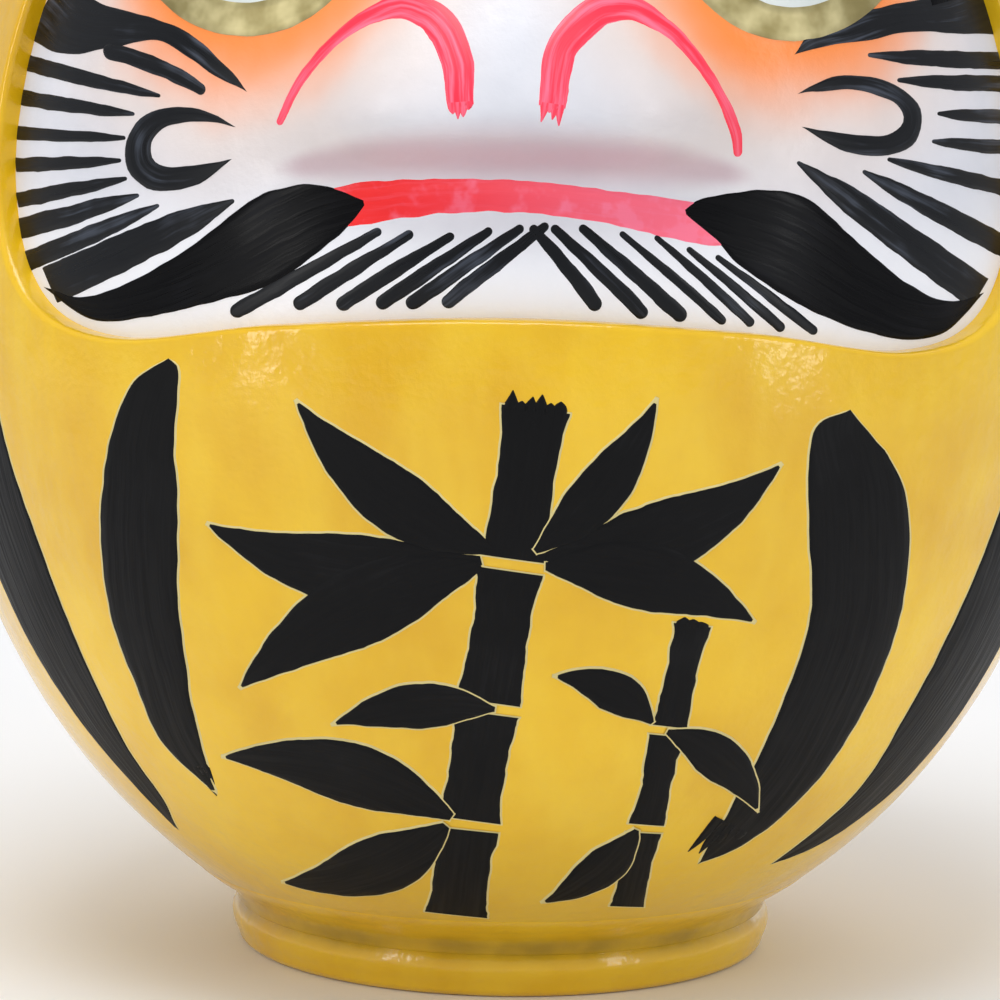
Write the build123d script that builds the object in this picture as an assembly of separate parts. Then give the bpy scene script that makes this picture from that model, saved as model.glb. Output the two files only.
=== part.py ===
from build123d import *

import os
from math import asin, atan2, cos, exp, hypot, pi, radians, sin

# Daruma doll, about 300 mm tall. Millimetres, +Z up, the face looks along -Y.
# The origin is the centre of the plane that the doll stands on.

# Shell: an egg of revolution, moulded in paper and open underneath
WIDTH = 242.0  # across the waist
WAIST_Z = 134.4  # level of the widest section
BELLY_DROP = 138.7  # half height of the belly's ellipse, whose lower end is cut off by the foot
CROWN_RISE = 167.5  # half height of the crown's curve, which puts the crown at 302
CROWN_FULLNESS = 2.2  # 2 makes the crown an ellipse, and more makes it fuller
CROWN_POINTS = 12  # points that carry the outline above the waist
BELLY_POINTS = 6  # and below it
CAP_TURN = 75.0  # degrees round the crown's curve, where a round cap closes it
WALL = 2.6

# Face: a panel sunk into the front of the egg, framed by the robe and its hood
FACE_SINK = 4.6  # how far the panel lies below the egg
FACE_RIM_ROUND = 1.5  # rounding of the robe's edge round the face
# Right half of the panel's outline as (degrees from straight ahead, height), from the chin up
CHIN = (0.0, 144.4)
FACE_OUTLINE = (
    (21.5, 141.8),
    (39.5, 136.9),
    (51.5, 142.8),
    (58.0, 162.4),
    (58.5, 188.4),
    (53.5, 222.4),
    (42.0, 251.4),
    (22.0, 265.4),
)
HOOD_PEAK = (0.0, 263.4)

# Modelling of the face: bulges and hollows, each with a middle (across, height), a spread and a rise
NOSE_UNDERSIDE_Z = 175.4  # middle of the slope under the nose
NOSE_UNDERSIDE_SLOPE = 2.4  # the smaller, the steeper
NOSE_FULLEST_Z = 179.0
NOSE_HEIGHT = 33.0  # the bridge fades upwards over this height
NOSE_OUT = 14.5
NOSE_HALF_WIDTH = 36.0
NOSE_SQUARENESS = 3.0  # 2 makes the nose a bell across, and more makes it flatter in the middle
BRIDGE_Z = 204.4  # middle of the stretch where the nose narrows to its bridge
BRIDGE_SLOPE = 9.0
BRIDGE_HALF_WIDTH = 18.0
LUMPS = (
    (28.0, 183.0, 13.0, 11.0, 2.4),  # wings of the nose
    (51.5, 219.6, 19.0, 19.0, 2.6),  # eyes
    (64.0, 184.0, 22.0, 18.0, 1.6),  # cheeks
    (44.0, 250.0, 26.0, 9.0, 1.6),  # brows
    (0.0, 154.0, 26.0, 7.0, 1.2),  # chin
)
LIP_HOLLOW = (0.0, 168.0, 38.0, 8.0, -1.8)
PANEL_INSIDE = 8.8  # the panel's inner side lies this far below the egg, packed out behind the nose

# Clay foot, which is also the weight
FOOT_RADIUS = 56.2
FOOT_HEIGHT = 12.0  # up to the shoulder that carries the shell
FOOT_FLARE = 1.0  # the foot is this much wider at its shoulder
FOOT_EDGE = 2.4  # rounding of the standing edge
SPIGOT_CLEARANCE = 0.4  # between the shell's opening and the part of the foot inside it
SPIGOT_HEIGHT = 15.0
SPIGOT_EDGE = 3.0
STANDING_RING = 9.6  # width of the ring that touches the table
BASE_HOLLOW = 2.0  # depth of the hollow inside the ring
STICK_RADIUS = 5.0  # hole that held the doll on a stick while it was painted

# Paper strip pasted round the corner between shell and foot, and paper pasted into the hollow
STRIP_REACH = 7.5  # outwards along the shell
STRIP_DROP = 4.2  # down the side of the foot
STRIP_BUILD = 0.5  # thickness
STRIP_ROUND = 3.2  # the strip bridges the corner with this radius
BASE_PAPER = 0.6
BASE_PAPER_GAP = 0.4

NOSE_BLOCK_WIDTH = 112.0  # material for the nose, cut back to the face panel afterwards
NOSE_BLOCK_HEIGHT = 72.0
NOSE_BLOCK_Z = 196.0
EDGE_TOLERANCE = 0.2
RIM_SAMPLES = (0.1, 0.37, 0.73, 0.9)  # shares of an edge's length at which it is tested against the rim
SKIN_TOLERANCE = 0.01
SKIN_DEGREES = (3, 8)  # lowest and highest degree of the face's spline surface
WIDEST_TURN = max(turn for turn, height in FACE_OUTLINE)
SKIN_STEP = 3.0  # degrees between the columns of points on the face, and mm between its rows
PANEL_SIDE = 66.0  # degrees
PANEL_BOTTOM_Z = 128.0
PANEL_TOP_Z = 278.0
PANEL_BACK = 40.0  # the radial cutters start this far in front of the axis
PANEL_FRONT = 132.0  # and end in front of everything
FORWARD = 150.0


def belly_radius(height, inset=0.0):
    """Radius of the egg at a height below the waist."""
    rise = (WAIST_Z - height) / (BELLY_DROP - inset)
    return (WIDTH / 2 - inset) * (1 - rise**2) ** 0.5


def crown_radius(height, inset=0.0):
    """Radius of the egg at a height above the waist."""
    rise = (height - WAIST_Z) / (CROWN_RISE - inset)
    return (WIDTH / 2 - inset) * (1 - rise**CROWN_FULLNESS) ** (1 / CROWN_FULLNESS)


def egg_radius(height):
    return crown_radius(height) if height > WAIST_Z else belly_radius(height)


def egg_section(inset=0.0):
    """Half section of the egg, this far inside its outer surface and cut off flat at the foot.

    The curve's top is a round cap that meets it smoothly, because a spline can't close on the axis cleanly.
    """
    half_width = WIDTH / 2 - inset
    half_rise = CROWN_RISE - inset
    half_drop = BELLY_DROP - inset
    power = 2 / CROWN_FULLNESS
    cut = asin((WAIST_Z - FOOT_HEIGHT) / half_drop)
    outline = []
    for step in range(BELLY_POINTS):
        turn = cut * (1 - step / BELLY_POINTS)
        outline.append((half_width * cos(turn), WAIST_Z - half_drop * sin(turn)))
    for step in range(CROWN_POINTS + 1):
        turn = radians(CAP_TURN * step / CROWN_POINTS)
        outline.append((half_width * cos(turn) ** power, WAIST_Z + half_rise * sin(turn) ** power))
    floor_slope = (half_width * sin(cut), half_drop * cos(cut))
    cap_start = outline[-1]
    out = (cap_start[0] / half_width) ** (CROWN_FULLNESS - 1) / half_width
    up = ((cap_start[1] - WAIST_Z) / half_rise) ** (CROWN_FULLNESS - 1) / half_rise
    cap_centre = cap_start[1] - cap_start[0] * up / out
    cap_radius = hypot(cap_start[0], cap_start[1] - cap_centre)
    cap_middle = (atan2(cap_start[1] - cap_centre, cap_start[0]) + pi / 2) / 2
    middle = (cap_radius * cos(cap_middle), cap_centre + cap_radius * sin(cap_middle))
    top = (0, cap_centre + cap_radius)
    with BuildSketch(Plane.XZ) as drawn:
        with BuildLine():
            Spline(*outline, tangents=[floor_slope, (-up, out)])
            ThreePointArc(cap_start, middle, top)
            Polyline(top, (0, FOOT_HEIGHT), outline[0])
        make_face()
    return drawn.sketch


def egg(inset=0.0):
    return revolve(egg_section(inset), axis=Axis.Z)


def sloped(middle, slope, value):
    """0 well below the middle, 1 well above it and a smooth rise between them."""
    return 1 / (1 + exp((middle - value) / slope))


def lump(across, height, middle):
    """One bulge or hollow, and its twin on the other side when it is off the centre line."""
    x, z, wide, tall, rise = middle
    near = abs(across) - x
    return rise * exp(-((near / wide) ** 2) - ((height - z) / tall) ** 2)


def face_radius(turn, height):
    """Distance of the face panel from the doll's axis."""
    across = egg_radius(height) * sin(radians(turn))
    forward = sloped(NOSE_UNDERSIDE_Z, NOSE_UNDERSIDE_SLOPE, height)
    fade = exp(-(((height - NOSE_FULLEST_Z) / NOSE_HEIGHT) ** 2))
    narrowing = sloped(BRIDGE_Z, BRIDGE_SLOPE, height)
    half_width = NOSE_HALF_WIDTH + (BRIDGE_HALF_WIDTH - NOSE_HALF_WIDTH) * narrowing
    nose = NOSE_OUT * forward * fade * exp(-((abs(across) / half_width) ** NOSE_SQUARENESS))
    lumps = sum(lump(across, height, middle) for middle in LUMPS + (LIP_HOLLOW,))
    return egg_radius(height) - FACE_SINK + nose + lumps


def front_of_face():
    """Everything in front of the face panel."""
    columns = int(2 * PANEL_SIDE / SKIN_STEP)
    rows = int((PANEL_TOP_Z - PANEL_BOTTOM_Z) / SKIN_STEP)
    points = []
    for column in range(columns + 1):
        turn = -PANEL_SIDE + 2 * PANEL_SIDE * column / columns
        line = []
        for row in range(rows + 1):
            height = PANEL_BOTTOM_Z + (PANEL_TOP_Z - PANEL_BOTTOM_Z) * row / rows
            radius = face_radius(turn, height)
            line.append(Vector(radius * sin(radians(turn)), -radius * cos(radians(turn)), height))
        points.append(line)
    low, high = SKIN_DEGREES
    panel = Face.make_surface_from_array_of_points(points, tol=SKIN_TOLERANCE, min_deg=low, max_deg=high)
    return Solid.extrude(panel, Vector(0, -FORWARD, 0))


def opening_outline(forward, grow=0.0):
    """The panel's outline, grown by some mm, where its radial walls cross a plane in front of the axis."""
    middle_z = (CHIN[1] + HOOD_PEAK[1]) / 2
    outline = [CHIN, *FACE_OUTLINE, HOOD_PEAK]
    outline += [(-turn, height) for turn, height in reversed(FACE_OUTLINE)]
    points = []
    for turn, height in outline:
        wider = turn * (1 + grow / (egg_radius(height) * radians(WIDEST_TURN)))
        taller = middle_z + (height - middle_z) * (1 + grow / (HOOD_PEAK[1] - middle_z))
        points.append((forward * sin(radians(wider)) / cos(radians(wider)), taller))
    with BuildSketch(Plane.XZ.offset(forward)) as drawn:
        with BuildLine():
            Spline(*points, periodic=True)
        make_face()
    return drawn.sketch


def face_opening(grow=0.0):
    """Radial hole through the robe, with walls square to the egg."""
    sections = [opening_outline(PANEL_BACK, grow), opening_outline(PANEL_FRONT, grow)]
    return loft(sections, ruled=True)


def body_shell():
    """The moulded paper shell, with its face panel and the hollow that follows it inside."""
    opening = face_opening()
    nose_block = Box(NOSE_BLOCK_WIDTH, PANEL_FRONT - PANEL_BACK, NOSE_BLOCK_HEIGHT)
    nose_block = Pos(0, -(PANEL_BACK + PANEL_FRONT) / 2, NOSE_BLOCK_Z) * nose_block
    outside = egg() + nose_block - (opening & front_of_face())
    rim = outside.edges().filter_by(on_rim)
    outside = fillet(rim, FACE_RIM_ROUND)
    behind_panel = revolve(egg_section(WALL) - egg_section(PANEL_INSIDE), axis=Axis.Z)
    hollow = egg(WALL) - (behind_panel & face_opening(WALL))
    return nested(outside, hollow)


def nested(outside, hollow):
    """The solid between an outer and an inner form that share only the plane of the opening underneath."""
    walls = []
    floors = []
    for form in (outside, hollow):
        floor = form.faces().sort_by(Axis.Z)[0]
        floors.append(floor.outer_wire())
        walls += [face for face in form.faces() if face != floor]
    lip = Face(floors[0], [floors[1]])
    return Solid(Shell(Face.sew_faces([*walls, lip])[0]))


def on_rim(edge):
    """Whether an edge runs where the opening's wall meets the outside of the egg."""
    for share in RIM_SAMPLES:
        point = edge.position_at(share)
        if not WAIST_Z + EDGE_TOLERANCE < point.Z < PANEL_TOP_Z:
            return False
        if point.Y > -PANEL_BACK or abs(hypot(point.X, point.Y) - egg_radius(point.Z)) > EDGE_TOLERANCE:
            return False
    return True


def foot_section():
    """Half section of the foot: standing ring, shoulder under the shell and spigot inside it."""
    spigot_radius = belly_radius(FOOT_HEIGHT, WALL) - SPIGOT_CLEARANCE
    ring_inside = FOOT_RADIUS - STANDING_RING
    top = FOOT_HEIGHT + SPIGOT_HEIGHT
    profile = [
        (STICK_RADIUS, BASE_HOLLOW),
        (ring_inside, BASE_HOLLOW),
        (ring_inside, 0),
        (FOOT_RADIUS, 0),
        (FOOT_RADIUS + FOOT_FLARE, FOOT_HEIGHT),
        (spigot_radius, FOOT_HEIGHT),
        (spigot_radius, top),
        (STICK_RADIUS, top),
    ]
    with BuildSketch(Plane.XZ) as drawn:
        Polygon(*profile, align=None)
        corners = drawn.vertices()
        fillet([corner for corner in corners if corner.X == FOOT_RADIUS], FOOT_EDGE)
        fillet([corner for corner in corners if corner.X == spigot_radius and corner.Z == top], SPIGOT_EDGE)
    return drawn.sketch


def foot_weight():
    """Clay foot, which stands on its ring and weights the doll."""
    return revolve(foot_section(), axis=Axis.Z)


def corner_strip():
    """Paper strip that rounds the corner between shell and foot, from the one to the other."""
    corner_radius = FOOT_RADIUS + FOOT_FLARE
    up_radius = corner_radius + STRIP_REACH
    up = (up_radius, shell_height(up_radius))
    down_z = FOOT_HEIGHT - STRIP_DROP
    down = (FOOT_RADIUS + FOOT_FLARE * down_z / FOOT_HEIGHT, down_z)
    along_shell = (up[0] - STRIP_REACH / 2, up[1] - STRIP_REACH / 2 - STRIP_BUILD)
    bend = (corner_radius + STRIP_ROUND, FOOT_HEIGHT + STRIP_ROUND / 2 - STRIP_BUILD)
    with BuildSketch(Plane.XZ) as drawn:
        with BuildLine():
            Bezier(up, along_shell, bend, down)
            Polyline(down, (down[0] - WALL, down[1]), (down[0] - WALL, up[1]), up)
        make_face()
    section = drawn.sketch - egg_section() - foot_section()
    return revolve(section, axis=Axis.Z)


def shell_height(radius):
    """Height of the egg's underside at this radius."""
    return WAIST_Z - BELLY_DROP * (1 - (radius / (WIDTH / 2)) ** 2) ** 0.5


def base_paper():
    """Paper pasted into the hollow under the foot, over the hole for the stick."""
    radius = FOOT_RADIUS - STANDING_RING - BASE_PAPER_GAP
    paper = Cylinder(radius, BASE_PAPER, align=(Align.CENTER, Align.CENTER, Align.MAX))
    return Pos(0, 0, BASE_HOLLOW) * paper


pieces = {
    "body_shell": body_shell(),
    "foot_weight": foot_weight(),
    "foot_joint_strip": corner_strip(),
    "base_paper": base_paper(),
}
os.makedirs("parts", exist_ok=True)
for name, piece in pieces.items():
    solids = piece.solids()
    print(f"{name}: {len(solids)} solid, {piece.volume / 1000:.1f} cm3, {piece.bounding_box()}")
    export_step(piece, f"parts/{name}.step")
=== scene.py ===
# %% [markdown]
# A daruma doll, painted by hand. The doll is an egg of moulded paper with a sunken face, standing on a
# clay foot. Its solid pieces come from the CAD model, which gives every size and place. Here each painted
# surface gets its look, and each brush stroke becomes a thin film of paint laid over the paper.

from math import cos, pi, radians, sin

import bmesh
import bpy
import numpy as np
from mathutils import Matrix, Vector, noise


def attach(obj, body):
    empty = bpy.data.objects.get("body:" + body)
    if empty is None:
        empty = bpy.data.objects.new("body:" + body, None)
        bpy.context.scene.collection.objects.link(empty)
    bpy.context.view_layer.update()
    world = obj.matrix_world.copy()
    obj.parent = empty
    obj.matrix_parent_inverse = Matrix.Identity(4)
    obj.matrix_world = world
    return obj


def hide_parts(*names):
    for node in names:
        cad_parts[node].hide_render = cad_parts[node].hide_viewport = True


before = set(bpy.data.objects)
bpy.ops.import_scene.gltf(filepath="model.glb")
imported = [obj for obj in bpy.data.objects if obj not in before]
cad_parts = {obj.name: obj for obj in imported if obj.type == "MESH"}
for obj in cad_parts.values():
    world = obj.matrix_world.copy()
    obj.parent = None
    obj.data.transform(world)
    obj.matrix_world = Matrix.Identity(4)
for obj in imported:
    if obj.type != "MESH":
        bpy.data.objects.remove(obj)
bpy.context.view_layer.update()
MM = 0.001

# %% [markdown]
# The camera stands about a metre away with a long lens, a little above the middle of the doll and looking
# down. A long lens keeps the egg's outline true, where a short one would swell the belly. The tiny roll
# makes the doll lean a degree, as hand-made dolls do on a shelf.

# %% Camera
def put_in_scene(name, data):
    holder = bpy.data.objects.new(name, data)
    bpy.context.scene.collection.objects.link(holder)
    return holder


CAMERA_PLACE = Vector((-1.7, -960.0, 227.4)) * MM
LOOK_DOWN = radians(7.9)
ROLL = radians(1.0)
camera = put_in_scene("camera", bpy.data.cameras.new("camera"))
bpy.context.scene.camera = camera
camera.data.lens = 164.7
camera.data.sensor_width = 36.0
camera.data.clip_start = 0.05
tilt = Matrix.Rotation(radians(90.0) - LOOK_DOWN, 4, "X")
camera.matrix_world = Matrix.Translation(CAMERA_PLACE) @ tilt @ Matrix.Rotation(ROLL, 4, "Z")
print("camera lens:", camera.data.lens)

# %% [markdown]
# Studio light: a tall narrow light on the left and a slightly weaker one on the right put a long gloss on
# each side. A soft light above and a large one behind round the egg, and a pale world fills the shadows.

# %% Light and floor
def soft_light(name, place, aim, size, power, colour=(1.0, 1.0, 1.0)):
    """An oblong light, in metres and watts, aimed at a point."""
    lamp = bpy.data.lights.new(name, "AREA")
    lamp.shape = "RECTANGLE"
    lamp.size, lamp.size_y = size
    lamp.energy = power
    lamp.color = colour
    holder = put_in_scene(name, lamp)
    holder.location = place
    holder.rotation_mode = "QUATERNION"
    holder.rotation_quaternion = (Vector(aim) - Vector(place)).to_track_quat("-Z", "Y")


MIDDLE = (0.0, 0.0, 0.15)
TALL = (0.13, 0.8)
soft_light("key_light", (-0.85, -0.8, 0.42), MIDDLE, TALL, 2.5, (1.0, 0.985, 0.96))
soft_light("fill_light", (0.95, -0.75, 0.40), MIDDLE, TALL, 2.2, (0.97, 0.98, 1.0))
soft_light("top_light", (-0.1, -0.35, 1.2), MIDDLE, (0.7, 0.5), 6.6)
soft_light("back_light", (0.3, 1.1, 0.7), MIDDLE, (1.4, 1.4), 5.0)

world = bpy.data.worlds.new("pale_room")
bpy.context.scene.world = world
world.use_nodes = True
background = world.node_tree.nodes["Background"]
background.inputs["Color"].default_value = (0.93, 0.95, 1.0, 1.0)
background.inputs["Strength"].default_value = 0.58

floor_mesh = bpy.data.meshes.new("floor")
FLOOR_REACH = 6.0
floor_corners = [(FLOOR_REACH * x, FLOOR_REACH * y, 0) for x, y in ((-1, -1), (1, -1), (1, 1), (-1, 1))]
floor_mesh.from_pydata(floor_corners, [], [(0, 1, 2, 3)])
floor = put_in_scene("floor", floor_mesh)
floor_paint = bpy.data.materials.new("floor_paper")
floor_paint.use_nodes = True
floor_shader = floor_paint.node_tree.nodes["Principled BSDF"]
floor_shader.inputs["Base Color"].default_value = (0.93, 0.93, 0.93, 1.0)
floor_shader.inputs["Roughness"].default_value = 0.9
floor_mesh.materials.append(floor_paint)
bpy.context.scene.view_settings.view_transform = "Standard"
print("lights and floor are in place")

# %% [markdown]
# The paper egg is a shape of revolution: an ellipse below the waist and a slightly squarer curve above it.
# Every brush stroke has to lie on this surface, so it is written as a formula rather than drawn. Then the
# same formula places the shell, the face and the paint, and none of them can drift apart.

# %% The egg
HALF_WIDTH = 121.0
WAIST_Z = 134.4
BELLY_DROP = 138.7
CROWN_RISE = 167.5
CROWN_FULLNESS = 2.2
SHOULDER_Z = 12.0


def egg_radius(height):
    """Radius of the egg in mm at heights in mm, given as a numpy array."""
    below = 1 - ((WAIST_Z - height) / BELLY_DROP) ** 2
    rise = np.clip((height - WAIST_Z) / CROWN_RISE, 0, 1)
    crown = HALF_WIDTH * np.clip(1 - rise**CROWN_FULLNESS, 0, 1) ** (1 / CROWN_FULLNESS)
    return np.where(height > WAIST_Z, crown, HALF_WIDTH * np.sqrt(np.clip(below, 0, 1)))


print("egg radius at the shoulder:", round(float(egg_radius(np.array(SHOULDER_Z))), 1), "mm")

# %% [markdown]
# The face is a panel sunk into the egg. Its outline goes from the chin out to the cheeks and up under the
# hood. A few points are enough, and a closed smooth curve runs through them. Each point is a turn from
# straight ahead in degrees and a height in mm.

# %% Face outline
OUTLINE_RIGHT = [
    (21.5, 141.8), (39.5, 136.9), (51.5, 142.8), (58.0, 162.4),
    (58.5, 188.4), (53.5, 222.4), (42.0, 251.4), (22.0, 265.4),
]
CHIN, HOOD_PEAK = (0.0, 144.4), (0.0, 263.4)


def smooth_curve(points, per_span, closed=False):
    """Catmull-Rom curve through points, as a numpy array with per_span steps for each span."""
    points = np.asarray(points, float)
    if closed:
        padded = np.vstack([points[-1], points, points[:2]])
    else:
        padded = np.vstack([2 * points[0] - points[1], points, 2 * points[-1] - points[-2]])
    made = []
    for i in range(1, len(padded) - 2):
        a, b, c, d = padded[i - 1 : i + 3]
        t = np.linspace(0, 1, per_span, endpoint=False)[:, None]
        bend, twist = 2 * a - 5 * b + 4 * c - d, 3 * b - a - 3 * c + d
        made.append(0.5 * (2 * b + (c - a) * t + bend * t**2 + twist * t**3))
    if not closed:
        made.append(points[-1:])
    return np.vstack(made)


outline_left = [(-turn, height) for turn, height in reversed(OUTLINE_RIGHT)]
face_outline = smooth_curve([CHIN, *OUTLINE_RIGHT, HOOD_PEAK, *outline_left], 40, closed=True)
print("face outline:", len(face_outline), "points")

# %% [markdown]
# The modelling of the face is a sum of soft bulges and hollows: a broad nose that overhangs the lip, its
# wings, the raised eyes, cheeks, brows and chin. A sculptor presses the same forms into the mould.

# %% Relief of the face
FACE_SINK = 4.6
NOSE_RISE = 14.5
NOSE_WIDE, BRIDGE_NARROWER = 36.0, 18.0  # half width at the wings, and how much the bridge loses
BRIDGE_Z, BRIDGE_OVER = 204.4, 9.0  # where it narrows, and how gently
LIP_Z, LIP_OVER = 175.4, 2.4  # where the nose springs out over the lip, and how gently
NOSE_Z, NOSE_FADE = 179.0, 33.0  # the bridge fades upwards over this height
# each form: (across, height, spread across, spread in height, rise), all in mm
FACE_FORMS = [
    (28.0, 183.0, 13.0, 11.0, 2.4),
    (51.5, 219.6, 19.0, 19.0, 2.6),
    (64.0, 184.0, 22.0, 18.0, 1.6),
    (44.0, 250.0, 26.0, 9.0, 1.6),
    (0.0, 154.0, 26.0, 7.0, 1.2),
    (0.0, 168.0, 38.0, 8.0, -1.8),
]


def slope(middle, width, value):
    """0 below the middle, 1 above it, with a smooth rise between."""
    return 1 / (1 + np.exp((middle - value) / width))


def face_radius(turn, height):
    """Distance of the face panel from the doll's axis in mm; turn is in radians."""
    across = np.abs(egg_radius(height) * np.sin(turn))
    half_width = NOSE_WIDE - BRIDGE_NARROWER * slope(BRIDGE_Z, BRIDGE_OVER, height)
    overhang = slope(LIP_Z, LIP_OVER, height) * np.exp(-(((height - NOSE_Z) / NOSE_FADE) ** 2))
    relief = NOSE_RISE * overhang * np.exp(-((across / half_width) ** 3))
    for x, z, wide, tall, rise in FACE_FORMS:
        relief = relief + rise * np.exp(-(((across - x) / wide) ** 2) - ((height - z) / tall) ** 2)
    return egg_radius(height) - FACE_SINK + relief


print("nose tip at y =", round(-float(face_radius(np.array(0.0), np.array(182.0))), 1), "mm")

# %% [markdown]
# Moulded paper is never quite even. Slow waves come from the layers of paper, and small ones from its
# creases under the lacquer. Smooth noise gives both, from the place alone, so that paint laid over the
# paper follows the same waves.

# %% Unevenness of the paper
WAVES = [(34.0, 0.38), (11.0, 0.12)]  # wavelength and height in mm


def unevenness(points):
    """Offset in mm at points given as an (n, 3) array in mm."""
    made = np.zeros(len(points))
    for length, height in WAVES:
        made += [height * noise.noise(Vector(p) / length) for p in points]
    return made


def on_axis(turn, height, radius):
    return np.column_stack([radius * np.sin(turn), -radius * np.cos(turn), height])


def skin(turn, height, face):
    """Points on the painted surface in mm, on the face panel or on the robe."""
    egg = egg_radius(height)
    uneven = unevenness(on_axis(turn, height, egg))
    return on_axis(turn, height, (face_radius(turn, height) if face else egg) + uneven)


print("waves in the paper:", WAVES)

# %% [markdown]
# Both the robe and the face are grids that run in rings round the middle of the face. Rings follow the
# face's edge exactly, where a plain grid of latitude and longitude would cut it into steps. A ray from
# inside the egg gives each grid point its place.

# %% Rings round the face
HEART = np.array([0.0, 0.0, 150.0])
RAY_REACH, HALVINGS = 260.0, 40  # a ray this long always ends outside, and is halved this often
FACE_MIDDLE = np.array([0.0, -116.0, 203.0])
forward = (FACE_MIDDLE - HEART) / np.linalg.norm(FACE_MIDDLE - HEART)
sideways = np.array([1.0, 0.0, 0.0])
upwards = np.cross(sideways, forward) * -1


def ring_place(points):
    """Angle round the face and angle away from its middle, for points in mm."""
    ray = points - HEART
    ray /= np.linalg.norm(ray, axis=1)[:, None]
    return np.arctan2(ray @ upwards, ray @ sideways), np.arccos(np.clip(ray @ forward, -1, 1))


def hit_egg(around, away):
    """Turn and height where rays with those angles leave the egg."""
    ray = np.outer(np.cos(away), forward)
    ray += np.sin(away)[:, None] * (np.outer(np.cos(around), sideways) + np.outer(np.sin(around), upwards))
    near, far = np.zeros(len(ray)), np.full(len(ray), RAY_REACH)
    for _ in range(HALVINGS):
        middle = (near + far) / 2
        place = HEART + ray * middle[:, None]
        out = np.hypot(place[:, 0], place[:, 1]) > egg_radius(place[:, 2])
        out |= (place[:, 2] > WAIST_Z + CROWN_RISE) | (place[:, 2] < WAIST_Z - BELLY_DROP)
        far = np.where(out, middle, far)
        near = np.where(out, near, middle)
    place = HEART + ray * near[:, None]
    return np.arctan2(place[:, 0], -place[:, 1]), place[:, 2]


COLUMNS = 460
RING_STEP = 125.0  # mm along the egg for each radian away from the middle of the face
outline_turn = np.radians(face_outline[:, 0])
outline_points = on_axis(outline_turn, face_outline[:, 1], egg_radius(face_outline[:, 1]))
outline_around, outline_away = ring_place(outline_points)
around = np.linspace(-pi, pi, COLUMNS, endpoint=False)
edge_away = np.interp(around, *zip(*sorted(zip(outline_around, outline_away))), period=2 * pi)
face_span = np.degrees([edge_away.min(), edge_away.max()]).round()
print("the face spans", face_span[0], "to", face_span[1], "degrees")

# %% [markdown]
# One helper turns rows of points into a smooth mesh that rides on the doll's body.

# %% Mesh helper
def grid_mesh(name, rows, material, closed=True, cap_last=False):
    """A mesh from equally long rows of points in mm, optionally closed round each row."""
    columns = len(rows[0])
    verts = np.vstack(rows) * MM
    faces = []
    wrap = columns if closed else columns - 1
    for r in range(len(rows) - 1):
        for c in range(wrap):
            n = (c + 1) % columns
            faces.append((r * columns + c, r * columns + n, (r + 1) * columns + n, (r + 1) * columns + c))
    if cap_last:
        verts = np.vstack([verts, verts[-columns:].mean(0)])
        last = (len(rows) - 1) * columns
        faces += [(last + c, last + (c + 1) % columns, len(verts) - 1) for c in range(columns)]
    mesh = bpy.data.meshes.new(name)
    mesh.from_pydata(verts.tolist(), [], faces)
    mesh.shade_smooth()
    mesh.materials.append(material)
    return put_in_scene(name, mesh)


# %% [markdown]
# Lacquer, paint and ink are all built the same way: a base colour that drifts a little from place to place,
# a roughness that drifts too, and a fine bump. Small node helpers keep each recipe short and readable.

# %% Paint helpers
def srgb(red, green, blue):
    """Linear colour from 0-255 values as a painter's chart gives them."""
    made = [v / 255 for v in (red, green, blue)]
    return tuple(v / 12.92 if v <= 0.04045 else ((v + 0.055) / 1.055) ** 2.4 for v in made) + (1.0,)


def new_paint(name, roughness, coat=0.0, metallic=0.0, coat_roughness=0.16, gloss=0.5):
    paint = bpy.data.materials.new(name)
    paint.use_nodes = True
    shader = paint.node_tree.nodes["Principled BSDF"]
    shader.inputs["Roughness"].default_value = roughness
    shader.inputs["Coat Weight"].default_value = coat
    shader.inputs["Coat Roughness"].default_value = coat_roughness
    shader.inputs["Specular IOR Level"].default_value = gloss
    shader.inputs["Metallic"].default_value = metallic
    return paint, paint.node_tree, shader


def place_node(tree):
    """Object coordinates, in metres."""
    return tree.nodes.new("ShaderNodeTexCoord").outputs["Object"]


def noise_node(tree, scale, detail=3.0, roughness=0.5, stretch=None, source=None):
    """Noise with that many features per metre, between 0 and 1."""
    made = tree.nodes.new("ShaderNodeTexNoise")
    made.inputs["Scale"].default_value = scale
    made.inputs["Detail"].default_value = detail
    made.inputs["Roughness"].default_value = roughness
    source = source or place_node(tree)
    if stretch:
        mapping = tree.nodes.new("ShaderNodeMapping")
        mapping.inputs["Scale"].default_value = stretch
        tree.links.new(source, mapping.inputs["Vector"])
        source = mapping.outputs["Vector"]
    tree.links.new(source, made.inputs["Vector"])
    return made.outputs["Fac"]


def ramp(tree, value, low, high, out_low=0.0, out_high=1.0):
    """Smooth step: out_low at low, out_high at high."""
    made = tree.nodes.new("ShaderNodeMapRange")
    made.interpolation_type = "SMOOTHSTEP"
    for name, number in (("From Min", low), ("From Max", high), ("To Min", out_low), ("To Max", out_high)):
        made.inputs[name].default_value = number
    tree.links.new(value, made.inputs["Value"])
    return made.outputs["Result"]


def sums(tree, kind, a, b):
    made = tree.nodes.new("ShaderNodeMath")
    made.operation = kind
    for number, item in enumerate((a, b)):
        if isinstance(item, float):
            made.inputs[number].default_value = item
        else:
            tree.links.new(item, made.inputs[number])
    return made.outputs[0]


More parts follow.
